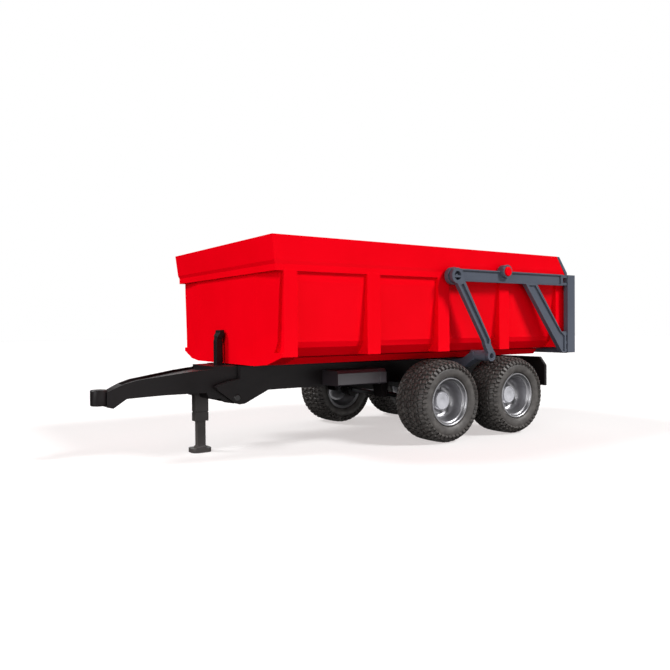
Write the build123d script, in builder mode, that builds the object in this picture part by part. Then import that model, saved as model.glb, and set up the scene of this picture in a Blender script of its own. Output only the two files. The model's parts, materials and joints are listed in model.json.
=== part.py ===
from build123d import *
import os

os.makedirs("parts", exist_ok=True)

# Tandem-axle tipping trailer at about one sixteenth of full size, in millimetres.
# X runs from the tow eye (-X) to the tailgate (+X), Y across, and the ground is Z = 0.

# ---- driving dimensions ----
wheel_radius = 32.8
tyre_width = 33.4
tyre_mid_y = 72.4
bead_radius = 19.4
wheel_base = 78.6
bogie_x = 89.0
axle_z = wheel_radius
axle_radius = 2.0
running_gap = 0.07

tub_top_z = 154.4
band_bottom_z = 130.6
side_bottom_z = 71.0
belly_bottom_z = 65.5
tub_half_width = 85.7
panel_half_width = 82.6
belly_half_width = 49.6
tub_front_x = -108.8
front_wall_x = -103.8
tub_rear_x = 196.0
tub_rear_top_x = 184.2
rear_slope_z = 138.8
tub_wall = 2.4

rail_inner_y = 20.0
rail_outer_y = 30.0
rail_bottom_z = 46.0
rail_top_z = 64.6
cheek_inner_y = 25.0
cheek_front_x = -104.7
rail_rear_x = 200.2

hinge_x, hinge_z = 168.0, 59.5
hinge_pin_radius = 2.5

arm_inner_y = 86.6
arm_outer_y = 90.6
arm_pivot_x, arm_pivot_z = 110.5, 137.6
link_x, link_z = 51.3, 132.0
rod_inner_y = 91.0
rod_outer_y = 94.6
rod_foot_x, rod_foot_z = 89.0, 68.1
post_front_x = 193.0
post_rear_x = 203.5
post_top_z = 137.8
post_bottom_z = 67.6

eye_x, eye_z = -197.9, 45.2
eye_radius = 5.6
eye_bore_radius = 2.6
eye_height = 11.0
eye_shank_radius, eye_shank_length = 2.58, 10.0
cross_pin_x, cross_pin_z = -107.5, 41.6
stand_x = -123.7
latch_pivot_x, latch_pivot_z = -110.3, 60.3

sides = {"left": -1, "right": 1}
axle_positions = {"front": bogie_x - wheel_base / 2, "rear": bogie_x + wheel_base / 2}


def side_plane(y):
    """Vertical plane at the given Y, drawn in X and Z, with its normal along -Y."""
    return Plane.XZ.offset(-y)


# ---- chassis: two rails, cross beams, front cheeks and the bogie hangers ----
cross_beam_positions = (-62.0, -16.0, 28.0, 135.0)
rail_side = [
    (cheek_front_x, rail_top_z),
    (hinge_x + 4.0, rail_top_z - 2.0),
    (rail_rear_x, 39.8),
    (rail_rear_x, 36.0),
    (hinge_x, rail_bottom_z),
    (cheek_front_x, rail_bottom_z),
]
cheek_rear_x = -79.3
cheek_side = [
    (cheek_front_x, rail_top_z),
    (cheek_front_x, 55.5),
    (-113.5, 53.9),
    (-120.5, 51.9),
    (-123.8, 50.3),
    (-122.6, 47.9),
    (-108.9, 37.6),
    (-105.6, 36.7),
    (-101.4, 37.0),
    (cheek_rear_x, rail_bottom_z + 1.2),
    (cheek_rear_x + 3.3, rail_top_z),
]
hanger_side = [
    (bogie_x - 13.0, 52.0),
    (bogie_x + 13.0, 52.0),
    (bogie_x + 6.0, 39.0),
    (bogie_x + 3.0, 35.2),
    (bogie_x - 3.0, 35.2),
    (bogie_x - 6.0, 39.0),
]
guard_bracket_side = [(14.2, 55.0), (26.0, 55.0), (22.4, 34.6), (19.8, 34.6)]
guard_bracket_width = 12.0
bogie_pivot_z = 41.5
bogie_pin_radius = 3.0
drawbar_pin_radius = 2.55
latch_pin_radius = 1.5
snug_gap = 0.02
hanger_inner_y = 35.0
hanger_outer_y = 41.0

with BuildPart() as chassis_frame:
    for side in sides.values():
        with BuildSketch(side_plane(side * rail_inner_y)):
            with BuildLine():
                Polyline(*rail_side, close=True)
            make_face()
        extrude(amount=-side * (rail_outer_y - rail_inner_y))
    # The drawbar's tail sits between the cheeks, so the rails start behind it.
    with BuildSketch(Plane.XY):
        with Locations(((cheek_front_x + cheek_rear_x) / 2, 0)):
            Rectangle(cheek_rear_x - cheek_front_x + 4.0, 2 * cheek_inner_y)
    extrude(amount=rail_top_z + 1.0, mode=Mode.SUBTRACT)
    for side in sides.values():
        with BuildSketch(side_plane(side * cheek_inner_y)):
            with BuildLine():
                Polyline(*cheek_side, close=True)
            make_face()
        extrude(amount=-side * (rail_outer_y - cheek_inner_y))
    # Cross beams tie the rails together.
    with BuildSketch(Plane.XY.offset(rail_bottom_z + 3.0)):
        with Locations(*[(x, 0) for x in cross_beam_positions]):
            Rectangle(7.0, 2 * rail_inner_y + 1.0)
    extrude(amount=12.0)
    with BuildSketch(Plane.XY.offset(37.0)):
        with Locations((rail_rear_x - 5.0, 0)):
            Rectangle(10.0, 2 * rail_inner_y + 1.0)
    extrude(amount=4.0)
    # A wide beam over the bogie carries the hangers.
    with BuildSketch(Plane.XY.offset(51.0)):
        with Locations((bogie_x, 0)):
            Rectangle(26.0, 2 * hanger_outer_y)
    extrude(amount=11.0)
    for side in sides.values():
        with BuildSketch(side_plane(side * hanger_inner_y)):
            with BuildLine():
                Polyline(*hanger_side, close=True)
            make_face()
        extrude(amount=-side * (hanger_outer_y - hanger_inner_y))
        # Triangular brackets hang from the rails ahead of the front axle.
        with BuildSketch(side_plane(side * (rail_outer_y - 1.0))):
            with BuildLine():
                Polyline(*guard_bracket_side, close=True)
            make_face()
        extrude(amount=-side * guard_bracket_width)
    # Bores for the drawbar pin, the bogie pin and the tipping hinge pin.
    for x, z, radius in (
        (cross_pin_x, cross_pin_z, drawbar_pin_radius + snug_gap),
        (bogie_x, bogie_pivot_z, bogie_pin_radius + snug_gap),
        (hinge_x, hinge_z, hinge_pin_radius + snug_gap),
    ):
        with BuildSketch(side_plane(60.0)):
            with Locations((x, z)):
                Circle(radius)
        extrude(amount=120.0, mode=Mode.SUBTRACT)
chassis_frame.part.label = "chassis_frame"
export_step(chassis_frame.part, "parts/chassis_frame.step")

# ---- rear bumper: an upright plate with cut top corners ----
bumper_thickness = 3.0
bumper_half_width = 59.5
bumper_bottom_z, bumper_top_z = 35.3, 62.5
with BuildPart() as rear_bumper:
    with BuildSketch(Plane.YZ.offset(rail_rear_x)):
        with BuildLine():
            Polyline(
                (-bumper_half_width, bumper_bottom_z),
                (bumper_half_width, bumper_bottom_z),
                (bumper_half_width, bumper_top_z - 7.8),
                (bumper_half_width - 6.4, bumper_top_z),
                (-bumper_half_width + 6.4, bumper_top_z),
                (-bumper_half_width, bumper_top_z - 7.8),
                close=True,
            )
        make_face()
    extrude(amount=bumper_thickness)
    # A folded lip stiffens the lower edge.
    with BuildSketch(Plane.XY.offset(bumper_bottom_z)):
        with Locations((rail_rear_x - 2.0, 0)):
            Rectangle(4.0, 2 * (bumper_half_width - 6.4))
    extrude(amount=0.7)
rear_bumper.part.label = "rear_bumper"
export_step(rear_bumper.part, "parts/rear_bumper.step")

# ---- drawbar: a wedge-shaped beam, hollow below, with a raised block at the rear ----
drawbar_front_x = -193.7
drawbar_rear_x = -84.0
block_front_x = -121.0
drawbar_side = [
    (drawbar_front_x, 48.9),
    (-188.4, 51.5),
    (-181.9, 54.3),
    (-174.1, 56.5),
    (-156.8, 58.7),
    (-138.3, 61.2),
    (block_front_x, 62.8),
    (block_front_x, 64.5),
    (drawbar_rear_x, 64.5),
    (drawbar_rear_x, 47.0),
    (-98.0, 38.2),
    (-107.5, 36.9),
    (-113.5, 38.0),
    (-117.0, 40.9),
    (-125.0, 41.2),
    (-126.6, 45.6),
    (-155.6, 45.2),
    (-180.7, 43.9),
    (-189.6, 37.6),
    (drawbar_front_x, 38.6),
]
drawbar_plan = [
    (drawbar_front_x, 4.9),
    (-105.3, 23.7),
    (-99.0, 24.7),
    (drawbar_rear_x, 24.7),
]
recess_side = [
    (-183.0, 52.2),
    (-174.1, 54.9),
    (-156.8, 57.1),
    (-138.3, 59.5),
    (block_front_x, 61.2),
    (block_front_x, 70.0),
    (-183.0, 70.0),
]
front_pocket_side = [
    (-176.0, 40.0),
    (-176.0, 51.6),
    (-157.0, 54.3),
    (-138.0, 56.6),
    (-138.0, 40.0),
]
drawbar_wall = 3.0
sleeve_length, sleeve_width = 10.4, 7.2
sleeve_top_z = 57.0


def plan_outline(inset):
    """Drawbar outline in plan, both sides, moved inwards by the inset."""
    near = [(x, -(y - inset)) for x, y in drawbar_plan]
    far = [(x, y - inset) for x, y in reversed(drawbar_plan)]
    return near + far


# The shallow trough along the top, between the two side plates.
with BuildPart() as trough:
    with BuildSketch(side_plane(30.0)):
        with BuildLine():
            Polyline(*recess_side, close=True)
        make_face()
    extrude(amount=60.0)
    with BuildSketch(Plane.XY):
        with BuildLine():
            Polyline(*plan_outline(1.6), close=True)
        make_face()
    extrude(amount=100.0, mode=Mode.INTERSECT)

# The hollow underside ahead of the stand, and the hollow tail.
with BuildPart() as pockets:
    with BuildSketch(side_plane(30.0)):
        with BuildLine():
            Polyline(*front_pocket_side, close=True)
        make_face()
        with Locations(((-114.0 - 87.0) / 2, 44.0)):
            Rectangle(27.0, 20.0)
    extrude(amount=60.0)
    with BuildSketch(Plane.XY):
        with BuildLine():
            Polyline(*plan_outline(drawbar_wall), close=True)
        make_face()
    extrude(amount=100.0, mode=Mode.INTERSECT)

with BuildPart() as drawbar:
    with BuildSketch(side_plane(30.0)):
        with BuildLine():
            Polyline(*drawbar_side, close=True)
        make_face()
    extrude(amount=60.0)
    with BuildSketch(Plane.XY):
        with BuildLine():
            Polyline(*plan_outline(0.0), close=True)
        make_face()
    extrude(amount=100.0, mode=Mode.INTERSECT)
    add(trough.part, mode=Mode.SUBTRACT)
    add(pockets.part, mode=Mode.SUBTRACT)
    # Socket for the stand's sleeve.
    with BuildSketch(Plane.XY):
        with Locations((stand_x, 0)):
            Rectangle(sleeve_length, sleeve_width)
    extrude(amount=sleeve_top_z, mode=Mode.SUBTRACT)
    # Slot and pin bore for the catch.
    with BuildSketch(Plane.XY.offset(56.0)):
        with Locations((latch_pivot_x + 0.9, 0)):
            Rectangle(12.0, 9.2)
    extrude(amount=20.0, mode=Mode.SUBTRACT)
    with BuildSketch(side_plane(9.0)):
        with Locations((latch_pivot_x, latch_pivot_z)):
            Circle(latch_pin_radius + snug_gap)
    extrude(amount=18.0, mode=Mode.SUBTRACT)
    # Bore for the pin that holds the drawbar between the cheeks.
    with BuildSketch(side_plane(30.0)):
        with Locations((cross_pin_x, cross_pin_z)):
            Circle(drawbar_pin_radius + snug_gap)
    extrude(amount=60.0, mode=Mode.SUBTRACT)
    # Round socket for the tow eye's shank.
    with BuildSketch(Plane.YZ.offset(drawbar_front_x)):
        with Locations((0, eye_z - 1.0)):
            Circle(eye_shank_radius + snug_gap)
    extrude(amount=eye_shank_length + 1.0, mode=Mode.SUBTRACT)
    # The nose is hollowed to the ring of the tow eye.
    with BuildSketch(Plane.XY):
        with Locations((eye_x, 0)):
            Circle(eye_radius + 0.05)
    extrude(amount=80.0, mode=Mode.SUBTRACT)
drawbar.part.label = "drawbar"
export_step(drawbar.part, "parts/drawbar.step")

# ---- tow eye: upright ring on a short shank ----
with BuildPart() as tow_eye:
    with BuildSketch(Plane.XY.offset(eye_z - eye_height / 2)):
        with Locations((eye_x, 0)):
            Circle(eye_radius)
    extrude(amount=eye_height)
    chamfer(tow_eye.edges().filter_by(GeomType.CIRCLE), length=0.6)
    with BuildSketch(Plane.YZ.offset(eye_x)):
        with Locations((0, eye_z - 1.0)):
            Circle(eye_shank_radius)
    extrude(amount=drawbar_front_x + eye_shank_length - eye_x)
    with BuildSketch(Plane.XY):
        with Locations((eye_x, 0)):
            Circle(eye_bore_radius)
    extrude(amount=60.0, mode=Mode.SUBTRACT)
tow_eye.part.label = "tow_eye"
export_step(tow_eye.part, "parts/tow_eye.step")

# ---- pins that run across the frame ----
cross_pins = {
    "drawbar_pin": (cross_pin_x, cross_pin_z, drawbar_pin_radius, 30.4),
    "latch_pin": (latch_pivot_x, latch_pivot_z, latch_pin_radius, 8.6),
    "tip_hinge_pin": (hinge_x, hinge_z, hinge_pin_radius, 31.2),
    "bogie_pivot_pin": (bogie_x, bogie_pivot_z, bogie_pin_radius, 54.0),
}
for pin_name, (x, z, radius, half_length) in cross_pins.items():
    with BuildPart() as cross_pin:
        with BuildSketch(side_plane(half_length)):
            with Locations((x, z)):
                Circle(radius)
        extrude(amount=2 * half_length)
        chamfer(cross_pin.edges().filter_by(GeomType.CIRCLE), length=0.4)
    cross_pin.part.label = pin_name
    export_step(cross_pin.part, f"parts/{pin_name}.step")

# ---- parking stand: a fixed sleeve and a leg that slides up inside it ----
sleeve_bottom_z = 23.2
leg_length, leg_width = 6.4, 5.0
leg_top_z = 38.0
foot_height = 3.2
foot_length, foot_width = 15.2, 13.0
with BuildPart() as stand_sleeve:
    with BuildSketch(Plane.XY.offset(sleeve_bottom_z)):
        with Locations((stand_x, 0)):
            Rectangle(sleeve_length - 0.04, sleeve_width - 0.04)
            Rectangle(leg_length + 0.16, leg_width + 0.16, mode=Mode.SUBTRACT)
    extrude(amount=sleeve_top_z - sleeve_bottom_z - 0.2)
    # A fine groove runs round the sleeve above its mouth.
    with BuildSketch(Plane.XY.offset(29.6)):
        with Locations((stand_x, 0)):
            Rectangle(sleeve_length + 1.0, sleeve_width + 1.0)
            Rectangle(sleeve_length - 0.7, sleeve_width - 0.7, mode=Mode.SUBTRACT)
    extrude(amount=0.8, mode=Mode.SUBTRACT)
stand_sleeve.part.label = "stand_sleeve"
export_step(stand_sleeve.part, "parts/stand_sleeve.step")

with BuildPart() as stand_leg:
    with BuildSketch(Plane.XY):
        with Locations((stand_x - 0.5, 0)):
            RectangleRounded(foot_length, foot_width, 4.0)
    extrude(amount=foot_height)
    with BuildSketch(Plane.XY.offset(foot_height)):
        with Locations((stand_x, 0)):
            Rectangle(leg_length + 2.0, leg_width + 2.0)
    extrude(amount=1.6, taper=25)
    with BuildSketch(Plane.XY.offset(foot_height)):
        with Locations((stand_x, 0)):
            Rectangle(leg_length, leg_width)
    extrude(amount=leg_top_z - foot_height)
stand_leg.part.label = "stand_leg"
export_step(stand_leg.part, "parts/stand_leg.step")

# ---- catch: a lever with a deep front rib, whose head stands just ahead of the tub's front wall ----
latch_front_x = -111.2
rib_half_width, latch_half_width = 2.9, 4.15
rib_depth = 4.3
latch_top_z = 91.0
nose_x = front_wall_x - 1.5
head_side = [
    (nose_x - 3.4, latch_top_z - 0.3),
    (latch_front_x + 2.2, latch_top_z - 2.2),
    (latch_front_x + 0.6, latch_top_z - 5.0),
    (latch_front_x + 4.0, latch_top_z - 7.0),
    (nose_x - 0.5, latch_top_z - 3.6),
    (nose_x, latch_top_z - 1.6),
    (nose_x - 0.4, latch_top_z),
]
with BuildPart() as tub_latch:
    with BuildSketch(side_plane(rib_half_width)):
        with BuildLine():
            Polyline(
                (latch_front_x + 1.2, latch_top_z - 4.0),
                (latch_front_x, latch_top_z - 8.5),
                (latch_front_x, latch_pivot_z),
                (latch_front_x + rib_depth, latch_pivot_z),
                (latch_front_x + rib_depth, latch_top_z - 8.5),
                (latch_front_x + rib_depth + 1.2, latch_top_z - 5.0),
                close=True,
            )
        make_face()
    extrude(amount=2 * rib_half_width)
    with BuildSketch(side_plane(latch_half_width)):
        with BuildLine():
            Polyline(*head_side, close=True)
        make_face()
        with Locations((latch_pivot_x, latch_pivot_z)):
            Circle(3.0)
    extrude(amount=2 * latch_half_width)
    # A thin web stiffens the lever behind the rib.
    with BuildSketch(side_plane(1.4)):
        with BuildLine():
            Polyline(
                (latch_front_x + 1.0, latch_pivot_z),
                (latch_front_x + 6.0, latch_pivot_z + 6.5),
                (latch_front_x + 5.8, latch_top_z - 9.0),
                (nose_x - 1.0, latch_top_z - 3.5),
                (latch_front_x + 3.0, latch_top_z - 4.0),
                close=True,
            )
        make_face()
    extrude(amount=2.8)
    with BuildSketch(side_plane(latch_half_width)):
        with Locations((latch_pivot_x, latch_pivot_z)):
            Circle(latch_pin_radius + running_gap)
    extrude(amount=2 * latch_half_width, mode=Mode.SUBTRACT)
tub_latch.part.label = "tub_latch"
export_step(tub_latch.part, "parts/tub_latch.step")

# ---- tool boxes on the rails, each with an end cap ----
box_front_x, box_rear_x = -33.6, 6.4
box_outer_y = 52.0
box_bottom_z, box_top_z = 47.0, 59.0
box_bevel = 2.2
cap_length = 7.0
for side_name, side in sides.items():
    box_mid_y = side * (rail_outer_y + box_outer_y) / 2
    box_mid_z = (box_bottom_z + box_top_z) / 2
    box_depth = box_outer_y - rail_outer_y
    box_height = box_top_z - box_bottom_z
    with BuildPart() as tool_box:
        with BuildSketch(Plane.YZ.offset(box_front_x)):
            with BuildLine():
                Polyline(
                    (side * rail_outer_y, box_bottom_z),
                    (side * (box_outer_y - 1.0), box_bottom_z),
                    (side * box_outer_y, box_bottom_z + 1.0),
                    (side * box_outer_y, box_top_z - box_bevel),
                    (side * (box_outer_y - box_bevel), box_top_z),
                    (side * rail_outer_y, box_top_z),
                    close=True,
                )
            make_face()
        extrude(amount=box_rear_x - box_front_x)
        # A spigot on the open end locates the cap.
        with BuildSketch(Plane.YZ.offset(box_rear_x)):
            with Locations((box_mid_y, box_mid_z)):
                RectangleRounded(box_depth - 6.0, box_height - 5.0, 1.0)
        extrude(amount=3.0)
    tool_box.part.label = f"tool_box_{side_name}"
    export_step(tool_box.part, f"parts/tool_box_{side_name}.step")

    with BuildPart() as box_cap:
        with BuildSketch(Plane.YZ.offset(box_rear_x + 0.05)):
            with BuildLine():
                Polyline(
                    (side * rail_outer_y, box_bottom_z - 0.3),
                    (side * (box_outer_y - 1.0), box_bottom_z - 0.3),
                    (side * (box_outer_y + 0.3), box_bottom_z + 1.0),
                    (side * (box_outer_y + 0.3), box_top_z - box_bevel),
                    (side * (box_outer_y - box_bevel), box_top_z + 0.3),
                    (side * rail_outer_y, box_top_z + 0.3),
                    close=True,
                )
            make_face()
        extrude(amount=cap_length)
        with BuildSketch(Plane.YZ.offset(box_rear_x)):
            with Locations((box_mid_y, box_mid_z)):
                RectangleRounded(box_depth - 5.9, box_height - 4.9, 1.0)
        extrude(amount=3.1, mode=Mode.SUBTRACT)
    box_cap.part.label = f"tool_box_cap_{side_name}"
    export_step(box_cap.part, f"parts/tool_box_cap_{side_name}.step")

# ---- linkage brackets: slanted arms between the wheels that end in a tube ----
tube_radius = 4.3
spigot_radius = 3.0
tube_inner_y, tube_outer_y = 73.0, rod_inner_y - 0.25
for side_name, side in sides.items():
    with BuildPart() as linkage_bracket:
        with BuildSketch(Plane.YZ.offset(bogie_x - 4.5)):
            with BuildLine():
                Polyline(
                    (side * (hanger_outer_y + 0.05), 53.0),
                    (side * 66.0, 57.5),
                    (side * 78.0, 64.4),
                    (side * 78.0, 71.0),
                    (side * 73.0, 69.6),
                    (side * 66.0, 65.5),
                    (side * (hanger_outer_y + 0.05), 61.5),
                    close=True,
                )
            make_face()
        extrude(amount=9.0)
        with BuildSketch(side_plane(side * tube_inner_y)):
            with Locations((rod_foot_x, rod_foot_z)):
                Circle(tube_radius)
        extrude(amount=-side * (tube_outer_y - tube_inner_y))
        with BuildSketch(side_plane(side * tube_inner_y)):
            with Locations((rod_foot_x, rod_foot_z)):
                Circle(spigot_radius)
        extrude(amount=-side * (rod_outer_y - tube_inner_y))
        with BuildSketch(side_plane(side * (rod_outer_y + 1.0))):
            with Locations((rod_foot_x, rod_foot_z)):
                Circle(2.2)
        extrude(amount=side * 16.0, mode=Mode.SUBTRACT)
    linkage_bracket.part.label = f"linkage_bracket_{side_name}"
    export_step(linkage_bracket.part, f"parts/linkage_bracket_{side_name}.step")

# ---- tub: tapered panels with ribs below a deep top band, open at the top and rear ----
tub_section = [
    (-belly_half_width, belly_bottom_z),
    (belly_half_width, belly_bottom_z),
    (belly_half_width + 3.6, side_bottom_z - 0.7),
    (72.0, side_bottom_z + 1.4),
    (77.4, 78.6),
    (79.0, 82.6),
    (82.2, 124.0),
    (panel_half_width, tub_top_z),
    (-panel_half_width, tub_top_z),
    (-82.2, 124.0),
    (-79.0, 82.6),
    (-77.4, 78.6),
    (-72.0, side_bottom_z + 1.4),
    (-belly_half_width - 3.6, side_bottom_z - 0.7),
]
cavity_section = [
    (-47.4, belly_bottom_z + tub_wall),
    (47.4, belly_bottom_z + tub_wall),
    (50.6, side_bottom_z + 1.7),
    (70.4, side_bottom_z + 3.8),
    (75.2, 79.4),
    (76.6, 83.0),
    (79.8, 124.0),
    (80.4, 133.0),
    (82.3, 136.0),
    (83.2, tub_top_z + 1.0),
    (-83.2, tub_top_z + 1.0),
    (-82.3, 136.0),
    (-80.4, 133.0),
    (-79.8, 124.0),
    (-76.6, 83.0),
    (-75.2, 79.4),
    (-70.4, side_bottom_z + 3.8),
    (-50.6, side_bottom_z + 1.7),
]
rib_width = 12.0
rib_wall = 2.2
front_rib_width, front_rib_centre = 10.6, -94.3
rib_centres = [-23.8, 45.7, 115.5, 190.0]
rib_bottom_z = 72.6
rib_outer_y = tub_half_width - 1.3
gusset_half_width = 66.0
corner_start_y = 50.0
corner_depth = 2.4
band_steps = [
    # height, then how far the front and the sides stand inside the rim
    (band_bottom_z, 3.0, 1.4),
    (135.0, 3.0, 1.4),
    (137.5, 1.9, 1.0),
    (tub_top_z, 0.0, 0.0),
]
lug_inner_y, lug_outer_y = 11.0, 19.4
spigot_fit_radius = 2.0


def front_plan(inset):
    """Plan of the tub, drawn in from the outside: its front wall has slanted corners."""
    front = front_wall_x + inset
    corner = front + corner_depth
    rear = tub_rear_x + 4 * inset
    outer = panel_half_width + 4.0
    near = [(rear, -outer), (corner, -outer), (corner, -panel_half_width), (front, -corner_start_y)]
    return near + [(x, -y) for x, y in reversed(near)]


# The hollow inside the tub, with the same slanted front corners and a recess behind each rib.
with BuildPart() as cavity:
    with BuildSketch(Plane.YZ.offset(front_wall_x - 2.0)):
        with BuildLine():
            Polyline(*cavity_section, close=True)
        make_face()
    extrude(amount=tub_rear_x + 12.0 - front_wall_x)
    with BuildSketch(Plane.XY):
        with BuildLine():
            Polyline(*front_plan(tub_wall), close=True)
        make_face()
    extrude(amount=tub_top_z + 10.0, mode=Mode.INTERSECT)
    with BuildSketch(Plane.XY.offset(rib_bottom_z + rib_wall)):
        with Locations(*[(x, 0) for x in rib_centres]):
            Rectangle(rib_width - 2 * rib_wall, 2 * (rib_outer_y - rib_wall))
        with Locations((front_rib_centre, 0)):
            Rectangle(front_rib_width - 2 * rib_wall, 2 * (rib_outer_y - rib_wall))
    extrude(amount=135.0 - rib_bottom_z - rib_wall)

with BuildPart() as tub:
    with BuildSketch(Plane.YZ.offset(front_wall_x - 2.0)):
        with BuildLine():
            Polyline(*tub_section, close=True)
        make_face()
    extrude(amount=tub_rear_x + 2.0 - front_wall_x)
    # At the front a gusset under each first rib carries the wall out to the rib's foot.
    for side in sides.values():
        with BuildSketch(Plane.YZ.offset(front_wall_x - 2.0)):
            with BuildLine():
                Polyline(
                    (side * (belly_half_width - 0.5), belly_bottom_z),
                    (side * gusset_half_width, belly_bottom_z + 1.4),
                    (side * rib_outer_y, rib_bottom_z),
                    (side * rib_outer_y, rib_bottom_z + 3.0),
                    (side * (gusset_half_width - 10.0), rib_bottom_z + 3.0),
                    close=True,
                )
            make_face()
        extrude(amount=front_rib_centre + front_rib_width / 2 - front_wall_x + 2.0)
    # The front wall's outer thirds slant back a little towards the corners.
    with BuildSketch(Plane.XY):
        with BuildLine():
            Polyline(*front_plan(0.0), close=True)
        make_face()
    extrude(amount=tub_top_z, mode=Mode.INTERSECT)
    # Top band: it draws in from the rim down to a small step, and then runs nearly upright.
    for lower, upper in zip(band_steps, band_steps[1:]):
        for step_z, front_inset, side_inset in (lower, upper):
            band_front_x = tub_front_x + front_inset
            with BuildSketch(Plane.XY.offset(step_z)):
                with Locations(((band_front_x + tub_rear_x) / 2, 0)):
                    Rectangle(tub_rear_x - band_front_x, 2 * (tub_half_width - side_inset))
        loft()
    # Ribs on both sides, the last one closing the rear edge.
    for side in sides.values():
        with BuildSketch(Plane.XY.offset(rib_bottom_z)):
            with Locations(*[(x, side * (rib_outer_y - 6.0)) for x in rib_centres]):
                Rectangle(rib_width, 12.0)
            with Locations((front_rib_centre, side * (rib_outer_y - 6.0))):
                Rectangle(front_rib_width, 12.0)
        extrude(amount=band_bottom_z + 1.0 - rib_bottom_z)
    add(cavity.part, mode=Mode.SUBTRACT)
    # The upper part of the rear edge leans forward.
    with BuildSketch(side_plane(100.0)):
        with BuildLine():
            Polyline(
                (tub_rear_top_x, tub_top_z),
                (tub_rear_x, rear_slope_z),
                (tub_rear_x + 10.0, rear_slope_z),
                (tub_rear_x + 10.0, tub_top_z + 10.0),
                (tub_rear_top_x, tub_top_z + 10.0),
                close=True,
            )
        make_face()
    extrude(amount=200.0, mode=Mode.SUBTRACT)
    # Hinge lugs under the floor.
    for side in sides.values():
        with BuildSketch(side_plane(side * lug_inner_y)):
            with Locations((hinge_x, hinge_z)):
                Circle(4.6)
            with BuildLine():
                Polyline(
                    (hinge_x - 9.0, belly_bottom_z + 0.5),
                    (hinge_x - 4.5, hinge_z - 0.9),
                    (hinge_x + 4.5, hinge_z - 0.9),
                    (hinge_x + 9.0, belly_bottom_z + 0.5),
                    close=True,
                )
            make_face()
        extrude(amount=-side * (lug_outer_y - lug_inner_y))
    with BuildSketch(side_plane(40.0)):
        with Locations((hinge_x, hinge_z)):
            Circle(hinge_pin_radius + running_gap)
    extrude(amount=80.0, mode=Mode.SUBTRACT)
    # Bores through both side walls for the arm pivots.
    with BuildSketch(side_plane(100.0)):
        with Locations((arm_pivot_x, arm_pivot_z)):
            Circle(spigot_fit_radius + snug_gap)
    extrude(amount=200.0, mode=Mode.SUBTRACT)
tub.part.label = "tub"
export_step(tub.part, "parts/tub.step")

# ---- arm pivots: a stud through the tub's wall with a round cap outside ----
stud_radius = 3.0
cap_radius = 4.0
collar_outer_y = 93.0
cap_outer_y = 94.2
for side_name, side in sides.items():
    with BuildPart() as pivot_cap:
        for radius, start_y, end_y in (
            (spigot_fit_radius, 82.6, 86.0),
            (stud_radius, tub_half_width - 0.75, collar_outer_y - 0.8),
            (cap_radius, collar_outer_y - 0.9, cap_outer_y),
        ):
            with BuildSketch(side_plane(side * start_y)):
                with Locations((arm_pivot_x, arm_pivot_z)):
                    Circle(radius)
            extrude(amount=-side * (end_y - start_y))
        outer_edge = pivot_cap.edges().filter_by(GeomType.CIRCLE).sort_by(Axis.Y)
        fillet(outer_edge[0] if side < 0 else outer_edge[-1], radius=0.9)
    pivot_cap.part.label = f"pivot_cap_{side_name}"
    export_step(pivot_cap.part, f"parts/pivot_cap_{side_name}.step")

# ---- tailgate: a panel that follows the tub's rear edge, with two side posts ----
seam = 0.5
panel_thickness = 3.0
panel_bottom_z = 67.0
panel_half_y = 85.2
with BuildPart() as tailgate:
    with BuildSketch(side_plane(panel_half_y)):
        with BuildLine():
            Polyline(
                (tub_rear_x + seam, panel_bottom_z),
                (tub_rear_x + seam, rear_slope_z + 0.2),
                (tub_rear_top_x + seam + 0.3, tub_top_z),
                (tub_rear_top_x + seam + 3.6, tub_top_z),
                (tub_rear_x + seam + panel_thickness, rear_slope_z + 1.4),
                (tub_rear_x + seam + panel_thickness, panel_bottom_z),
                close=True,
            )
        make_face()
    extrude(amount=2 * panel_half_y)
    for side in sides.values():
        # Each post stands behind the panel's edge and wraps the tub's side.
        with BuildSketch(Plane.XY.offset(post_bottom_z)):
            with BuildLine():
                Polyline(
                    (tub_rear_x + seam, side * 78.0),
                    (post_rear_x, side * 78.0),
                    (post_rear_x, side * arm_outer_y),
                    (post_front_x, side * arm_outer_y),
                    (post_front_x, side * (tub_half_width + 0.5)),
                    (tub_rear_x + seam, side * (tub_half_width + 0.5)),
                    close=True,
                )
            make_face()
        extrude(amount=post_top_z - post_bottom_z)
    # Two stiffening ribs cross the outside of the panel.
    with BuildSketch(Plane.YZ.offset(tub_rear_x + seam + 1.0)):
        with Locations((0, 82.0), (0, 122.0)):
            Rectangle(157.0, 5.0)
    extrude(amount=panel_thickness + 1.0)
    # A lip turns back along the bottom edge.
    with BuildSketch(Plane.YZ.offset(tub_rear_x + seam + 1.0)):
        with Locations((0, panel_bottom_z + 1.25)):
            Rectangle(157.0, 2.5)
    extrude(amount=panel_thickness + 1.0)
tailgate.part.label = "tailgate"
export_step(tailgate.part, "parts/tailgate.step")

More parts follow.
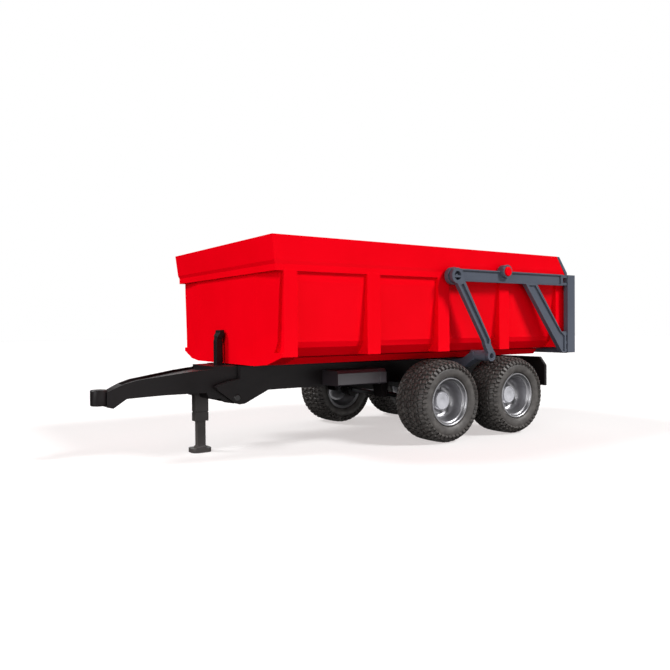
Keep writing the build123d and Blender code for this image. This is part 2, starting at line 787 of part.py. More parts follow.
# ---- side arms: a beam and a strut of channel section, with bosses ----
beam_top_z, beam_bottom_z = 137.9, 128.1
beam_rear_x = 186.4
strut_top = (136.0, 151.0)
strut_foot_z = 68.0
strut_corner_z = 86.9
flange = 1.1
arm_outline = [
    (link_x + 2.0, beam_top_z),
    (beam_rear_x, beam_top_z),
    (beam_rear_x, beam_bottom_z),
    (strut_top[1], beam_bottom_z),
    (184.0, strut_corner_z),
    (190.6, strut_corner_z),
    (190.6, strut_foot_z),
    (185.2, strut_foot_z),
    (strut_top[0], beam_bottom_z),
    (link_x + 2.0, beam_bottom_z),
]
arm_recesses = [
    [
        (link_x + 9.0, beam_top_z - flange),
        (beam_rear_x - 3.0, beam_top_z - flange),
        (beam_rear_x - 3.0, beam_bottom_z + flange),
        (link_x + 9.0, beam_bottom_z + flange),
    ],
    [
        (strut_top[0] + 4.0, beam_bottom_z - 1.0),
        (strut_top[1] - 2.2, beam_bottom_z - 1.0),
        (182.8, strut_corner_z),
        (188.6, strut_corner_z - 4.0),
        (188.6, strut_foot_z + 1.2),
        (185.8, strut_foot_z + 1.2),
    ],
]
boss_radius = 6.9
collar_radius = 5.5
for side_name, side in sides.items():
    with BuildPart() as side_arm:
        with BuildSketch(side_plane(side * arm_inner_y)):
            with BuildLine():
                Polyline(*arm_outline, close=True)
            make_face()
            with Locations((link_x, link_z)):
                Circle(boss_radius)
            with Locations((arm_pivot_x, arm_pivot_z)):
                Circle(collar_radius)
        extrude(amount=-side * (arm_outer_y - arm_inner_y))
        for recess in arm_recesses:
            with BuildSketch(side_plane(side * (arm_outer_y + 1.0))):
                with BuildLine():
                    Polyline(*recess, close=True)
                make_face()
            extrude(amount=side * 2.2, mode=Mode.SUBTRACT)
        # A collar round the pivot stands proud, with a seat for the cap in its end.
        with BuildSketch(side_plane(side * arm_inner_y)):
            with Locations((arm_pivot_x, arm_pivot_z)):
                Circle(collar_radius)
        extrude(amount=-side * (collar_outer_y - arm_inner_y))
        with BuildSketch(side_plane(side * (collar_outer_y + 1.0))):
            with Locations((arm_pivot_x, arm_pivot_z)):
                Circle(cap_radius + running_gap)
        extrude(amount=side * 2.0, mode=Mode.SUBTRACT)
        with BuildSketch(side_plane(side * 100.0)):
            with Locations((arm_pivot_x, arm_pivot_z)):
                Circle(stud_radius + running_gap)
            with Locations((link_x, link_z)):
                Circle(1.5)
        extrude(amount=side * 20.0, mode=Mode.SUBTRACT)
        # Clips join the arm to the tailgate's post.
        with BuildSketch(side_plane(side * arm_inner_y)):
            with Locations((189.3, 129.6), (189.3, 136.4)):
                Rectangle(7.3, 2.4)
            with Locations((191.0, 84.6), (191.0, 77.0), (191.0, 69.6)):
                Rectangle(3.9, 2.6)
        extrude(amount=-side * 3.2)
    side_arm.part.label = f"side_arm_{side_name}"
    export_step(side_arm.part, f"parts/side_arm_{side_name}.step")

    # The link pin is fixed in the arm's boss and reaches into the rod's open eye.
    with BuildPart() as link_pin:
        with BuildSketch(side_plane(side * (arm_inner_y + 0.4))):
            with Locations((link_x, link_z)):
                Circle(1.48)
        extrude(amount=-side * (rod_outer_y - 1.1 - arm_inner_y - 0.4))
    link_pin.part.label = f"link_pin_{side_name}"
    export_step(link_pin.part, f"parts/link_pin_{side_name}.step")

# ---- control rods: from the open eye at the arm down to the bracket's tube ----
rod_knee_x, rod_knee_z = 84.0, 79.6
eye_outer_radius = 6.2
open_eye_radius = 3.6
foot_eye_radius = 4.4
eye_bar_thickness = 0.7
rod_outline = [
    (link_x - 2.4, link_z - 3.0),
    (link_x + 5.6, link_z - 0.5),
    (rod_knee_x + 3.6, rod_knee_z + 1.5),
    (rod_knee_x + 4.0, rod_knee_z - 1.5),
    (rod_foot_x + 3.2, rod_foot_z + 2.5),
    (rod_foot_x - 3.4, rod_foot_z + 1.5),
    (rod_knee_x - 2.6, rod_knee_z - 2.4),
    (rod_knee_x - 3.3, rod_knee_z + 0.4),
]
rod_groove = [
    (link_x + 2.6, link_z - 7.4),
    (link_x + 6.2, link_z - 6.2),
    (rod_knee_x + 2.2, rod_knee_z + 1.4),
    (rod_knee_x + 1.6, rod_knee_z - 1.6),
    (rod_knee_x - 0.9, rod_knee_z - 1.2),
    (rod_knee_x - 1.4, rod_knee_z + 1.2),
]
for side_name, side in sides.items():
    with BuildPart() as control_rod:
        with BuildSketch(side_plane(side * rod_inner_y)):
            with BuildLine():
                Polyline(*rod_outline, close=True)
            make_face()
            with Locations((link_x, link_z)):
                Circle(eye_outer_radius)
            with Locations((rod_foot_x, rod_foot_z)):
                Circle(foot_eye_radius)
        extrude(amount=-side * (rod_outer_y - rod_inner_y))
        with BuildSketch(side_plane(side * (rod_outer_y + 1.0))):
            with BuildLine():
                Polyline(*rod_groove, close=True)
            make_face()
        extrude(amount=side * 2.4, mode=Mode.SUBTRACT)
        with BuildSketch(side_plane(side * 100.0)):
            with Locations((link_x, link_z)):
                Circle(open_eye_radius)
            with Locations((rod_foot_x, rod_foot_z)):
                Circle(spigot_radius + running_gap)
        extrude(amount=side * 20.0, mode=Mode.SUBTRACT)
        # A flat bar crosses the open eye, outside the link pin's end.
        with BuildSketch(side_plane(side * (rod_outer_y - eye_bar_thickness))):
            with Locations((link_x, link_z - 0.6)):
                Rectangle(2 * open_eye_radius, 1.5)
        extrude(amount=-side * eye_bar_thickness)
    control_rod.part.label = f"control_rod_{side_name}"
    export_step(control_rod.part, f"parts/control_rod_{side_name}.step")

# ---- bogie: one walking beam each side, tied by the two axles ----
beam_inner_y, beam_outer_y = 43.0, 53.0
hub_boss_end_y = 57.2
axle_half_length = tyre_mid_y + 2.7
bogie_beam_outline = [
    (axle_positions["front"] - 2.0, axle_z - 5.6),
    (bogie_x - 8.0, bogie_pivot_z - 8.0),
    (bogie_x + 8.0, bogie_pivot_z - 8.0),
    (axle_positions["rear"] + 2.0, axle_z - 5.6),
    (axle_positions["rear"] + 2.0, axle_z + 5.6),
    (bogie_x + 8.0, bogie_pivot_z + 5.4),
    (bogie_x - 8.0, bogie_pivot_z + 5.4),
    (axle_positions["front"] - 2.0, axle_z + 5.6),
]
for side_name, side in sides.items():
    with BuildPart() as bogie_beam:
        with BuildSketch(side_plane(side * beam_inner_y)):
            with BuildLine():
                Polyline(*bogie_beam_outline, close=True)
            make_face()
            with Locations(*[(x, axle_z) for x in axle_positions.values()]):
                Circle(6.0)
        extrude(amount=-side * (beam_outer_y - beam_inner_y))
        with BuildSketch(side_plane(side * beam_inner_y)):
            with Locations(*[(x, axle_z) for x in axle_positions.values()]):
                Circle(5.0)
        extrude(amount=-side * (hub_boss_end_y - beam_inner_y))
        with BuildSketch(side_plane(side * 80.0)):
            with Locations(*[(x, axle_z) for x in axle_positions.values()]):
                Circle(axle_radius + 0.02)
            with Locations((bogie_x, bogie_pivot_z)):
                Circle(bogie_pin_radius + running_gap)
        extrude(amount=side * 60.0, mode=Mode.SUBTRACT)
    bogie_beam.part.label = f"bogie_beam_{side_name}"
    export_step(bogie_beam.part, f"parts/bogie_beam_{side_name}.step")

for axle_name, axle_x in axle_positions.items():
    with BuildPart() as axle:
        with BuildSketch(side_plane(axle_half_length)):
            with Locations((axle_x, axle_z)):
                Circle(axle_radius)
        extrude(amount=2 * axle_half_length)
        chamfer(axle.edges().filter_by(GeomType.CIRCLE), length=0.4)
    axle.part.label = f"axle_{axle_name}"
    export_step(axle.part, f"parts/axle_{axle_name}.step")

# ---- wheels: tyre, dished rim and hub cap, turned about the axle ----
# Each outline is (distance outwards from the wheel's mid-plane, radius).
half_tyre = tyre_width / 2
tyre_outline = [
    (-13.4, bead_radius),
    (-15.2, 20.6),
    (-16.5, 23.6),
    (-half_tyre, 26.6),
    (-16.0, 29.4),
    (-13.6, 31.6),
    (-9.5, 32.6),
    (0.0, wheel_radius),
    (9.5, 32.6),
    (13.6, 31.6),
    (16.0, 29.4),
    (half_tyre, 26.6),
    (16.5, 23.6),
    (15.2, 20.6),
    (13.4, bead_radius),
]
rim_bore = axle_radius + running_gap
rim_outline = [
    (-14.8, rim_bore),
    (-14.8, 5.0),
    (-2.6, 6.0),
    (-2.6, 12.0),
    (-5.0, 14.6),
    (-12.6, 16.8),
    (-13.3, bead_radius - 0.05),
    (13.3, bead_radius - 0.05),
    (14.7, 18.9),
    (14.7, 17.7),
    (12.4, 17.0),
    (11.8, 15.8),
    (3.2, 14.6),
    (0.6, 12.4),
    (0.0, 10.0),
    (0.0, 8.2),
    (4.2, 7.2),
    (4.2, rim_bore),
]
cap_outline = [
    (3.2, 0.0),
    (3.2, axle_radius),
    (4.25, axle_radius),
    (4.25, 7.2),
    (5.6, 7.2),
    (6.2, 6.6),
    (6.2, 0.0),
]


def turned_points(outline, side):
    """Half-section points in the YZ plane of a wheel on the given side."""
    return [(side * (tyre_mid_y + along), axle_z + radius) for along, radius in outline]


for axle_name, axle_x in axle_positions.items():
    for side_name, side in sides.items():
        wheel_name = f"{axle_name}_{side_name}"
        axle_line = Axis((axle_x, 0, axle_z), (0, 1, 0))
        with BuildPart() as tyre:
            with BuildSketch(Plane.YZ.offset(axle_x)):
                with BuildLine():
                    Polyline(*turned_points(tyre_outline, side), close=True)
                make_face()
            revolve(axis=axle_line)
        tyre.part.label = f"tyre_{wheel_name}"
        export_step(tyre.part, f"parts/tyre_{wheel_name}.step")

        with BuildPart() as rim:
            with BuildSketch(Plane.YZ.offset(axle_x)):
                with BuildLine():
                    Polyline(*turned_points(rim_outline, side), close=True)
                make_face()
            revolve(axis=axle_line)
        rim.part.label = f"rim_{wheel_name}"
        export_step(rim.part, f"parts/rim_{wheel_name}.step")

        with BuildPart() as hub_cap:
            with BuildSketch(Plane.YZ.offset(axle_x)):
                with BuildLine():
                    Polyline(*turned_points(cap_outline, side), close=True)
                make_face()
            revolve(axis=axle_line)
        hub_cap.part.label = f"hub_cap_{wheel_name}"
        export_step(hub_cap.part, f"parts/hub_cap_{wheel_name}.step")
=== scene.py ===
import json
import math

import bmesh
import bpy
from mathutils import Matrix, Vector

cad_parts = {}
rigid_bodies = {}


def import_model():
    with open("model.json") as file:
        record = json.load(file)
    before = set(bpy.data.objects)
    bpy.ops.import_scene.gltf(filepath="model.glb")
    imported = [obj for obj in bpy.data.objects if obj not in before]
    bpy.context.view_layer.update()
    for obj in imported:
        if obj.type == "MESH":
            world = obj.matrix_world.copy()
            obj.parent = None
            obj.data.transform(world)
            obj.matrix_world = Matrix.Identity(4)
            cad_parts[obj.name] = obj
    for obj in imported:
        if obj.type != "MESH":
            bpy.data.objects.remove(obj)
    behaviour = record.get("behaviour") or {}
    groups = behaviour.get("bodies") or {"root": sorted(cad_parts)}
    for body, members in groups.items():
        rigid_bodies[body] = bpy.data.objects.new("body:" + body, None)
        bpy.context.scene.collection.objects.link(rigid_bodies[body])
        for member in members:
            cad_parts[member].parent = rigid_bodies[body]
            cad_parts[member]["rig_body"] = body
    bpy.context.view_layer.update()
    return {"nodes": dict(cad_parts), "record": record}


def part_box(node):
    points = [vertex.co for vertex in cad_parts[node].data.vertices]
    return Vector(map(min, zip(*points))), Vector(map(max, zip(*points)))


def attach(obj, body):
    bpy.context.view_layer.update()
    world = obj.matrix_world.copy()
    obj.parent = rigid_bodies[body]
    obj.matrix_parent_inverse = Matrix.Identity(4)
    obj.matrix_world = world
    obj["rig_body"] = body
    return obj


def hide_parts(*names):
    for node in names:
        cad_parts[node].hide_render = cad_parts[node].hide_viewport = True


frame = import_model()

mm = 0.001
full_turn = 2 * math.pi
sides = {"left": -1, "right": 1}
axles = ("front", "rear")
sharp_edge = math.radians(28)
spin_weld = 0.002 * mm


# ---- small tools for working on a mesh ----


def open_mesh(piece):
    """Opens one piece in edit mode with nothing selected."""
    bpy.ops.object.select_all(action="DESELECT")
    piece.select_set(True)
    bpy.context.view_layer.objects.active = piece
    bpy.ops.object.mode_set(mode="EDIT")
    bpy.ops.mesh.select_mode(type="VERT")
    bpy.ops.mesh.select_all(action="DESELECT")


def close_mesh():
    """Takes the open mesh out of edit mode."""
    bpy.ops.object.mode_set(mode="OBJECT")


def pick_faces(piece, test):
    """Selects the faces of the open mesh that pass a test, and no others."""
    bpy.ops.mesh.select_mode(type="FACE")
    mesh = bmesh.from_edit_mesh(piece.data)
    for face in mesh.faces:
        face.select_set(test(face))
    bmesh.update_edit_mesh(piece.data)


def start(name, primitive, **settings):
    """Adds a primitive with nothing else selected and gives it a name."""
    bpy.ops.object.select_all(action="DESELECT")
    primitive(**settings)
    piece = bpy.context.object
    piece.name = name
    piece.data.name = name
    return piece


def settle(piece):
    """Moves the object's place, turn and size into its mesh."""
    bpy.ops.object.select_all(action="DESELECT")
    piece.select_set(True)
    bpy.context.view_layer.objects.active = piece
    bpy.ops.object.transform_apply(location=True, rotation=True, scale=True)


def round_edges(piece, radius, segments=2):
    """Rounds every sharp edge, keeping flat faces flat in shade."""
    bevel = piece.modifiers.new("rounded edges", "BEVEL")
    bevel.width = radius
    bevel.segments = segments
    bevel.limit_method = "ANGLE"
    bevel.angle_limit = sharp_edge
    bevel.harden_normals = True
    bpy.context.view_layer.objects.active = piece
    bpy.ops.object.modifier_apply(modifier=bevel.name)


def smooth(piece, angle):
    """Shades the piece smooth, except across edges sharper than the angle in degrees."""
    bpy.ops.object.select_all(action="DESELECT")
    piece.select_set(True)
    bpy.context.view_layer.objects.active = piece
    bpy.ops.object.shade_smooth_by_angle(angle=math.radians(angle))


def copy_of(piece, name, place):
    """A copy with its own mesh, moved by the matrix."""
    twin = bpy.data.objects.new(name, piece.data.copy())
    twin.data.name = name
    bpy.context.scene.collection.objects.link(twin)
    twin.data.transform(place)
    return twin


def join(pieces, name):
    """Makes one named piece of several."""
    bpy.ops.object.select_all(action="DESELECT")
    for piece in pieces:
        piece.select_set(True)
    bpy.context.view_layer.objects.active = pieces[0]
    bpy.ops.object.join()
    pieces[0].name = name
    pieces[0].data.name = name
    return pieces[0]


def middle(node):
    """The middle of a CAD node's box."""
    low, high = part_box(node)
    return (low + high) / 2


def turned(name, outline, steps):
    """A ring or disc about the Y axis, spun from (distance along, radius) points."""
    along, radius = outline[0]
    piece = start(name, bpy.ops.mesh.primitive_plane_add, size=mm, location=(0, along, radius))
    settle(piece)
    open_mesh(piece)
    bpy.ops.mesh.select_all(action="SELECT")
    bpy.ops.mesh.merge(type="CENTER")
    for (here, inner), (there, outer) in zip(outline, outline[1:]):
        bpy.ops.mesh.extrude_region_move(
            TRANSFORM_OT_translate={"value": (0, there - here, outer - inner)}
        )
    bpy.ops.mesh.select_all(action="SELECT")
    bpy.ops.mesh.spin(steps=steps, angle=full_turn, center=(0, 0, 0), axis=(0, 1, 0))
    bpy.ops.mesh.select_all(action="SELECT")
    bpy.ops.mesh.remove_doubles(threshold=spin_weld)
    bpy.ops.mesh.normals_make_consistent(inside=False)
    close_mesh()
    return piece


# ---- finishes ----

# the Mix node has one set of sockets for each kind of value; these are its colour sockets
mix_share = 0
mix_first = 6
mix_second = 7
mix_result = 2
finishes = {}


class Wire:
    """A number or colour inside a finish, which can be used in sums."""

    def __init__(self, finish, socket):
        self.finish = finish
        self.socket = socket

    def sum_with(self, operation, first, second):
        return self.finish.node("ShaderNodeMath", {"operation": operation}, {0: first, 1: second})

    def __add__(self, other):
        return self.sum_with("ADD", self, other)

    def __radd__(self, other):
        return self.sum_with("ADD", other, self)

    def __sub__(self, other):
        return self.sum_with("SUBTRACT", self, other)

    def __rsub__(self, other):
        return self.sum_with("SUBTRACT", other, self)

    def __mul__(self, other):
        return self.sum_with("MULTIPLY", self, other)

    def __rmul__(self, other):
        return self.sum_with("MULTIPLY", other, self)


class Finish:
    """One material: a Principled shader, and the nodes that vary it over the surface."""

    def __init__(self, name, **constants):
        self.material = bpy.data.materials.new(name)
        self.material.use_nodes = True
        self.tree = self.material.node_tree
        self.shader = self.tree.nodes["Principled BSDF"]
        for socket, value in constants.items():
            self.shader.inputs[socket.replace("_", " ")].default_value = value

    def node(self, kind, settings=None, inputs=None, output=0):
        """Adds a node, sets it up, then gives its sockets their values or links."""
        node = self.tree.nodes.new(kind)
        for setting, value in (settings or {}).items():
            setattr(node, setting, value)
        for socket, value in (inputs or {}).items():
            if isinstance(value, Wire):
                self.tree.links.new(value.socket, node.inputs[socket])
            else:
                node.inputs[socket].default_value = value
        return Wire(self, node.outputs[output])

    def place(self):
        """The place on the piece, in metres."""
        return self.node("ShaderNodeTexCoord", output="Object")

    def noise(self, size, detail=2.0, stretch=(1, 1, 1)):
        """Cloudy values from 0 to 1 whose features are about the size given, in metres."""
        spot = self.node("ShaderNodeMapping", {}, {"Vector": self.place(), "Scale": stretch})
        return self.node(
            "ShaderNodeTexNoise", {}, {"Vector": spot, "Scale": 1 / size, "Detail": detail}
        )

    def ramp(self, value, low, high):
        """Spreads a value so that it runs from 0 at low to 1 at high."""
        return self.node(
            "ShaderNodeMapRange", {}, {"Value": value, "From Min": low, "From Max": high}
        )

    def mix(self, share, first, second):
        """A mix of two colours, by the Mix node's sockets for its share and its colours."""
        return self.node(
            "ShaderNodeMix",
            {"data_type": "RGBA"},
            {mix_share: share, mix_first: first, mix_second: second},
            output=mix_result,
        )

    def feed(self, **links):
        """Links wires to the shader's sockets, whose spaces are written as underscores."""
        for socket, wire in links.items():
            self.tree.links.new(wire.socket, self.shader.inputs[socket.replace("_", " ")])

    def bump(self, height, strength, depth):
        """Roughens the surface by the height, to the depth given in metres."""
        self.feed(
            Normal=self.node(
                "ShaderNodeBump", {}, {"Height": height, "Strength": strength, "Distance": depth}
            )
        )


def shade(red, green, blue, alpha=1.0):
    """A display colour from 0 to 255, as the linear colour that a shader takes."""

    def linear(value):
        value /= 255
        return value / 12.92 if value <= 0.04045 else ((value + 0.055) / 1.055) ** 2.4

    return (linear(red), linear(green), linear(blue), alpha)


def moulded_plastic(name, light, dark, roughness, spread, grain, depth, **constants):
    """Plastic from a mould: soft colour drift, uneven gloss and a fine surface grain."""
    drift_size = 42 * mm
    streak_size = 9 * mm
    streak_stretch = (1, 1, 2.5)
    grain_strength = 0.35
    finish = Finish(name, **constants)
    drift = finish.ramp(finish.noise(drift_size, detail=3.0), low=0.3, high=0.7)
    finish.feed(Base_Color=finish.mix(drift, dark, light))
    streaks = finish.noise(streak_size, detail=4.0, stretch=streak_stretch)
    finish.feed(Roughness=roughness + (streaks - 0.5) * spread)
    finish.bump(finish.noise(grain), grain_strength, depth)
    finishes[name] = finish.material


moulded_plastic(
    "tub_red",
    shade(246, 0, 21),
    shade(239, 0, 18),
    roughness=0.36,
    spread=0.08,
    grain=0.5 * mm,
    depth=0.01 * mm,
    IOR=1.46,
    Specular_IOR_Level=0.03,
)
moulded_plastic(
    "chassis_black",
    shade(33, 29, 30),
    shade(26, 23, 24),
    roughness=0.4,
    spread=0.14,
    grain=0.4 * mm,
    depth=0.03 * mm,
    Specular_IOR_Level=0.2,
)
moulded_plastic(
    "stand_black",
    shade(78, 73, 72),
    shade(68, 64, 63),
    roughness=0.45,
    spread=0.12,
    grain=0.4 * mm,
    depth=0.03 * mm,
    Specular_IOR_Level=0.2,
)
moulded_plastic(
    "pin_black",
    shade(40, 38, 38),
    shade(32, 30, 31),
    roughness=0.35,
    spread=0.1,
    grain=0.3 * mm,
    depth=0.02 * mm,
)
moulded_plastic(
    "linkage_grey",
    shade(84, 90, 102),
    shade(78, 83, 95),
    roughness=0.42,
    spread=0.12,
    grain=0.4 * mm,
    depth=0.03 * mm,
    Specular_IOR_Level=0.3,
)
moulded_plastic(
    "box_grey",
    shade(62, 57, 62),
    shade(55, 50, 55),
    roughness=0.36,
    spread=0.12,
    grain=0.4 * mm,
    depth=0.02 * mm,
    Specular_IOR_Level=0.8,
)
moulded_plastic(
    "hub_cap_light",
    shade(190, 190, 195),
    shade(178, 178, 184),
    roughness=0.4,
    spread=0.1,
    grain=0.4 * mm,
    depth=0.02 * mm,
)


def tyre_rubber():
    """Soft dull rubber, with paler scuffs and a mealy grain."""
    scuff_size = 5 * mm
    gloss_size = 3 * mm
    grain = 0.5 * mm
    finish = Finish("tyre_rubber", IOR=1.5)
    scuffs = finish.ramp(finish.noise(scuff_size, detail=5.0), low=0.42, high=0.75)
    finish.feed(Base_Color=finish.mix(scuffs, shade(68, 64, 62), shade(92, 88, 85)))
    finish.feed(Roughness=0.4 + finish.noise(gloss_size, detail=3.0) * 0.2)
    finish.bump(finish.noise(grain, detail=3.0), 0.4, 0.05 * mm)
    finishes["tyre_rubber"] = finish.material


def rim_silver():
    """Bright metallic coating on the moulded rims."""
    drift_size = 14 * mm
    gloss_size = 4 * mm
    grain = 0.35 * mm
    finish = Finish("rim_silver", Metallic=0.88)
    drift = finish.ramp(finish.noise(drift_size, detail=3.0), low=0.3, high=0.7)
    finish.feed(Base_Color=finish.mix(drift, shade(158, 157, 160), shade(172, 171, 174)))
    finish.feed(Roughness=0.3 + finish.noise(gloss_size, detail=4.0) * 0.14)
    finish.bump(finish.noise(grain), 0.3, 0.01 * mm)
    finishes["rim_silver"] = finish.material


def axle_steel():
    """Drawn steel rod, with fine rings round it."""
    ring_size = 1.2 * mm
    ring_stretch = (1, 6, 1)
    finish = Finish("axle_steel", Metallic=1.0)
    rings = finish.noise(ring_size, detail=3.0, stretch=ring_stretch)
    finish.feed(Base_Color=finish.mix(rings, shade(186, 188, 192), shade(206, 207, 210)))
    finish.feed(Roughness=0.24 + rings * 0.16)
    finish.bump(rings, 0.3, 0.01 * mm)
    finishes["axle_steel"] = finish.material


tyre_rubber()
rim_silver()
axle_steel()


def dress(piece, slot):
    """Gives a new piece the finish of the given slot, in place of any it had."""
    piece.data.materials.clear()
    piece.data.materials.append(finishes[slot])


# ---- moulded parts: copies of the CAD shapes with rounded edges ----


finish_of = {part["node"]: part["material_slot"] for part in frame["record"]["subparts"]}
cad_weld = 0.004 * mm
flat_angle = math.radians(0.6)


def softened(node, radius):
    """A copy of a CAD node with its edges rounded, shown in place of the node."""
    source = frame["nodes"][node]
    piece = bpy.data.objects.new(f"{node}_moulding", source.data.copy())
    bpy.context.scene.collection.objects.link(piece)
    open_mesh(piece)
    bpy.ops.mesh.select_all(action="SELECT")
    bpy.ops.mesh.remove_doubles(threshold=cad_weld)
    bpy.ops.mesh.dissolve_limited(angle_limit=flat_angle)
    close_mesh()
    round_edges(piece, radius)
    dress(piece, finish_of[node])
    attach(piece, source["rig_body"])
    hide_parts(node)


moulded_nodes = {
    "tub": 0.5 * mm,
    "pivot_cap_left": 0.35 * mm,
    "pivot_cap_right": 0.35 * mm,
    "tailgate": 0.4 * mm,
    "side_arm_left": 0.25 * mm,
    "side_arm_right": 0.25 * mm,
    "control_rod_left": 0.25 * mm,
    "control_rod_right": 0.25 * mm,
    "chassis_frame": 0.35 * mm,
    "rear_bumper": 0.3 * mm,
    "drawbar": 0.4 * mm,
    "tow_eye": 0.3 * mm,
    "stand_sleeve": 0.25 * mm,
    "stand_leg": 0.3 * mm,
    "tub_latch": 0.25 * mm,
    "tool_box_left": 0.35 * mm,
    "tool_box_right": 0.35 * mm,
    "tool_box_cap_left": 0.35 * mm,
    "tool_box_cap_right": 0.35 * mm,
    "linkage_bracket_left": 0.3 * mm,
    "linkage_bracket_right": 0.3 * mm,
    "bogie_beam_left": 0.3 * mm,
    "bogie_beam_right": 0.3 * mm,
    "drawbar_pin": 0.15 * mm,
    "latch_pin": 0.15 * mm,
    "tip_hinge_pin": 0.15 * mm,
    "bogie_pivot_pin": 0.15 * mm,
    "link_pin_left": 0.15 * mm,
    "link_pin_right": 0.15 * mm,
    "axle_front": 0.15 * mm,
    "axle_rear": 0.15 * mm,
}
for node, radius in moulded_nodes.items():
    softened(node, radius)


# ---- wheels ----

wheel_low, wheel_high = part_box("tyre_front_left")
wheel_radius = (wheel_high.z - wheel_low.z) / 2
tread_depth = 1.5 * mm
lug_pitches = 44
carcass_steps = 2 * lug_pitches
block_length = 3.1 * mm
block_width = 3.0 * mm
lug_length = 2.5 * mm
lug_width = 3.4 * mm
lug_turn = 0.2
block_bevel = 0.3 * mm
block_sink = 0.32 * mm
faces_along = 0.9
rim_steps = 72
cap_steps = 64
nut_count = 8
nut_radius = 1.1 * mm
nut_height = 1.6 * mm
nut_circle = 10.2 * mm
nut_along = 0.7 * mm
nut_edge = 0.2 * mm
tyre_smoothing = 60
rim_smoothing = 34


def make_carcass():
    """The smooth body of the tyre, below its tread, from (distance along, radius) points."""
    crown = wheel_radius - tread_depth
    half_outline = [
        (0.0, crown),
        (9.4 * mm, crown - 0.2 * mm),
        (12.6 * mm, crown - 1.1 * mm),
        (15.0 * mm, crown - 3.0 * mm),
        (16.3 * mm, 25.6 * mm),
        (16.5 * mm, 23.6 * mm),
        (16.0 * mm, 21.6 * mm),
        (15.5 * mm, 20.7 * mm),
        (15.3 * mm, 20.2 * mm),
        (14.9 * mm, 19.7 * mm),
        (13.4 * mm, 19.4 * mm),
    ]
    far_half = [(-along, radius) for along, radius in reversed(half_outline[1:])]
    ring = far_half + half_outline
    piece = turned("tyre_carcass", ring + [ring[0]], carcass_steps)
    smooth(piece, tyre_smoothing)
    return piece


def make_tread_block(name, along, length, width, top, turn, lean):
    """One block of the tread: a cube narrowed towards its top and set on the crown."""
    block = start(name, bpy.ops.mesh.primitive_cube_add, size=1, location=(0, 0, 0))
    block.scale = (length, width, 2 * tread_depth)
    settle(block)
    open_mesh(block)
    pick_faces(block, lambda face: face.normal.z > faces_along)
    bpy.ops.mesh.inset(thickness=block_bevel, depth=block_bevel)
    pick_faces(block, lambda face: face.normal.z < -faces_along)
    bpy.ops.mesh.delete(type="FACE")
    close_mesh()
    block.rotation_euler = (lean, 0, turn)
    block.location = (0, along, top - tread_depth - block_sink)
    settle(block)
    return block


def ring_of(block, count, offset):
    """Repeats a block all the way round the wheel's axle."""
    block.data.transform(Matrix.Rotation(offset, 4, "Y"))
    open_mesh(block)
    bpy.ops.mesh.select_all(action="SELECT")
    bpy.ops.mesh.spin(
        steps=count - 1,
        dupli=True,
        angle=full_turn * (count - 1) / count,
        center=(0, 0, 0),
        axis=(0, 1, 0),
    )
    close_mesh()
    return block


def make_tyre():
    """A wide low-pressure tyre with many small tread blocks."""
    parts = [make_carcass()]
    half_pitch = full_turn / lug_pitches / 2
    # each row of blocks: distance along, how far its top lies below the wheel's, turn
    rows = [
        (1.9 * mm, 0.0, 0.35),
        (5.7 * mm, 0.05 * mm, -0.35),
        (9.5 * mm, 0.25 * mm, 0.35),
    ]
    for number, (along, drop, turn) in enumerate(rows):
        for side in sides.values():
            block = make_tread_block(
                "block",
                side * along,
                block_length,
                block_width,
                wheel_radius - drop,
                side * turn,
                lean=0,
            )
            shift = half_pitch * (number % 2) + (half_pitch / 2 if side > 0 else 0)
            parts.append(ring_of(block, lug_pitches, shift))
    # each row of shoulder lugs: distance along, drop, lean, shift in half pitches
    shoulder_rows = [
        (13.0 * mm, 1.3 * mm, 0.5, 0.0),
        (15.2 * mm, 3.1 * mm, 0.95, 1.0),
    ]
    for side in sides.values():
        for along, drop, lean, shift in shoulder_rows:
            lug = make_tread_block(
                "lug",
                side * along,
                lug_length,
                lug_width,
                wheel_radius - drop,
                side * lug_turn,
                lean=-side * lean,
            )
            parts.append(ring_of(lug, lug_pitches, half_pitch * shift))
    return join(parts, "tyre")


def make_rim():
    """Deep dished rim with a stepped flange, and nuts round its hub."""
    # millimetres along the axle and from it, from the hub's back round the barrel to its face
    outline = [
        (-14.8, 2.1),
        (-14.8, 5.0),
        (-2.6, 6.0),
        (-2.6, 12.0),
        (-5.0, 14.6),
        (-12.6, 16.8),
        (-13.3, 19.3),
        (13.2, 19.3),
        (14.2, 19.2),
        (14.7, 18.8),
        (14.75, 18.2),
        (14.5, 17.7),
        (13.4, 17.25),
        (12.5, 17.1),
        (12.3, 16.9),
        (12.2, 16.2),
        (12.0, 15.9),
        (11.4, 15.7),
        (8.0, 15.2),
        (4.4, 14.8),
        (2.4, 14.0),
        (1.0, 12.8),
        (0.3, 11.4),
        (0.1, 10.0),
        (0.1, 8.3),
        (0.4, 8.0),
        (3.9, 7.5),
        (4.2, 7.2),
        (4.2, 2.1),
    ]
    ring = [(along * mm, radius * mm) for along, radius in outline]
    rim = turned("rim", ring + [ring[0]], rim_steps)
    nut = start(
        "nut",
        bpy.ops.mesh.primitive_cylinder_add,
        vertices=6,
        radius=nut_radius,
        depth=nut_height,
        location=(0, nut_along, nut_circle),
        rotation=(math.pi / 2, 0, 0),
    )
    settle(nut)
    round_edges(nut, nut_edge, segments=1)
    rim = join([rim, ring_of(nut, nut_count, full_turn / nut_count / 2)], "rim")
    smooth(rim, rim_smoothing)
    return rim


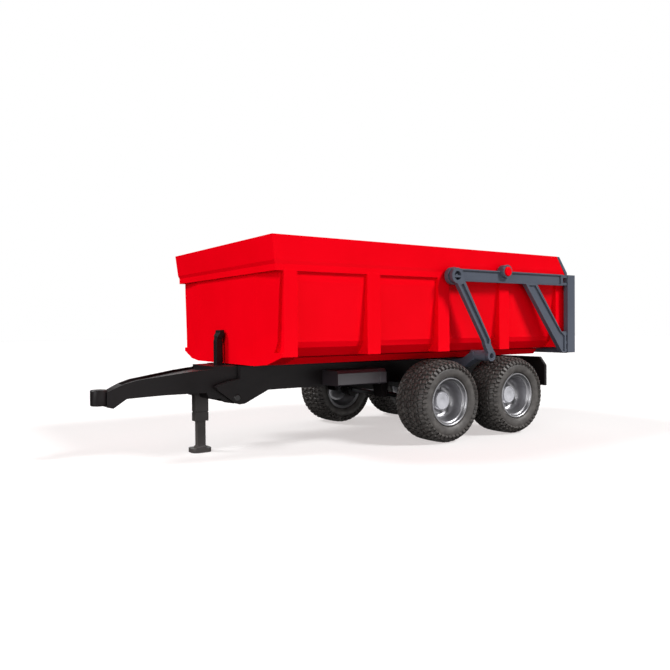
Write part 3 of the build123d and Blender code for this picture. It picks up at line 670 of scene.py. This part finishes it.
def make_hub_cap():
    """Flat round cap with a raised edge and a shallow centre."""
    # millimetres along the axle and from it: back, outer edge, raised rim, centre
    outline = [
        (3.2, 0.0),
        (3.2, 2.0),
        (4.25, 2.0),
        (4.25, 7.2),
        (5.5, 7.2),
        (5.95, 7.0),
        (6.15, 6.7),
        (6.15, 6.1),
        (5.9, 5.8),
        (5.9, 2.6),
        (5.7, 2.3),
        (5.7, 0.0),
    ]
    cap = turned("hub_cap", [(along * mm, radius * mm) for along, radius in outline], cap_steps)
    smooth(cap, rim_smoothing)
    return cap


wheel_pieces = {
    "tyre": (make_tyre(), "tyre_rubber"),
    "rim": (make_rim(), "rim_silver"),
    "hub_cap": (make_hub_cap(), "hub_cap_light"),
}
for axle in axles:
    for side_name, side in sides.items():
        centre = middle(f"tyre_{axle}_{side_name}")
        turn = Matrix.Rotation(math.pi, 4, "Z") if side < 0 else Matrix.Identity(4)
        for kind, (pattern, slot) in wheel_pieces.items():
            piece = copy_of(
                pattern, f"{kind}_{axle}_{side_name}_detail", Matrix.Translation(centre) @ turn
            )
            dress(piece, slot)
            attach(piece, f"wheel_{axle}_{side_name}")
            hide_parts(f"{kind}_{axle}_{side_name}")
for pattern, slot in wheel_pieces.values():
    bpy.data.objects.remove(pattern)


# ---- floor, light and camera ----


floor_width = 8.0
floor_drift = 0.4
card_height = 0.004


def make_floor():
    """A pale floor whose glow keeps shadows light, and which throws no light back up."""
    floor = start(
        "studio_floor", bpy.ops.mesh.primitive_plane_add, size=floor_width, location=(0, 0, 0)
    )
    finish = Finish(
        "floor_white",
        Roughness=0.9,
        Specular_IOR_Level=0.0,
        Emission_Color=shade(196, 191, 190),
        Emission_Strength=1.0,
    )
    drift = finish.noise(floor_drift)
    finish.feed(Base_Color=finish.mix(drift, shade(176, 176, 176), shade(180, 180, 180)))
    floor.data.materials.append(finish.material)
    floor.visible_diffuse = False
    floor.visible_glossy = False


def make_sun(name, from_direction, width, strength):
    """A soft sun: the width is the angle of its disc in degrees."""
    data = bpy.data.lights.new(name, "SUN")
    data.energy = strength
    data.angle = math.radians(width)
    sun = bpy.data.objects.new(name, data)
    sun.rotation_mode = "QUATERNION"
    sun.rotation_quaternion = Vector(from_direction).to_track_quat("Z", "Y")
    bpy.context.scene.collection.objects.link(sun)


def make_card(name, place, target, width, height, power):
    """A soft rectangle of light that the camera doesn't see."""
    data = bpy.data.lights.new(name, "AREA")
    data.shape = "RECTANGLE"
    data.size = width
    data.size_y = height
    data.energy = power
    light = bpy.data.objects.new(name, data)
    light.location = place
    light.rotation_mode = "QUATERNION"
    light.rotation_quaternion = (Vector(target) - Vector(place)).to_track_quat("-Z", "Y")
    light.visible_camera = False
    bpy.context.scene.collection.objects.link(light)


def make_surroundings():
    """White behind the object, which neither lights it nor shows in its gloss."""
    world = bpy.data.worlds.new("white_studio")
    bpy.context.scene.world = world
    world.use_nodes = True
    background = world.node_tree.nodes["Background"]
    background.inputs["Color"].default_value = (1, 1, 1, 1)
    background.inputs["Strength"].default_value = 1.0
    world.cycles_visibility.glossy = False
    world.cycles_visibility.diffuse = False


def make_camera():
    """A camera low at the trailer's front left, above the wheels' tops and nearly level."""
    place = Vector((-0.32323, -0.46971, 0.09376))
    yaw = math.radians(34.49)
    drop = math.radians(0.82)
    roll = math.radians(-0.42)
    forward = Vector(
        (math.sin(yaw) * math.cos(drop), math.cos(yaw) * math.cos(drop), -math.sin(drop))
    )
    level = Vector((math.cos(yaw), -math.sin(yaw), 0))
    upright = level.cross(forward)
    across = level * math.cos(roll) + upright * math.sin(roll)
    up = upright * math.cos(roll) - level * math.sin(roll)
    data = bpy.data.cameras.new("camera")
    data.lens = 35.893
    data.sensor_width = 36
    data.clip_start = 0.01
    camera = bpy.data.objects.new("camera", data)
    turn = Matrix((across, up, -forward)).transposed().to_4x4()
    camera.matrix_world = Matrix.Translation(place) @ turn
    bpy.context.scene.collection.objects.link(camera)
    bpy.context.scene.camera = camera


make_floor()
make_surroundings()
make_sun("key_sun", (0.6, -0.8, 0.85), width=14, strength=3.1)
make_sun("second_sun", (-0.75, 0.55, 0.85), width=18, strength=2.5)
make_sun("front_fill", (-0.9, -0.45, 0.3), width=30, strength=1.1)
make_sun("rear_fill", (0.8, 0.7, 0.5), width=80, strength=1.3)
make_card(
    "side_card",
    place=(0.15, -0.42, card_height),
    target=(0.1, 0.0, 0.25),
    width=1.3,
    height=0.3,
    power=1.3,
)
make_card(
    "front_card",
    place=(-0.5, -0.1, card_height),
    target=(-0.1, 0.0, 0.3),
    width=0.3,
    height=0.9,
    power=0.9,
)
make_camera()
bpy.context.scene.view_settings.view_transform = "Standard"
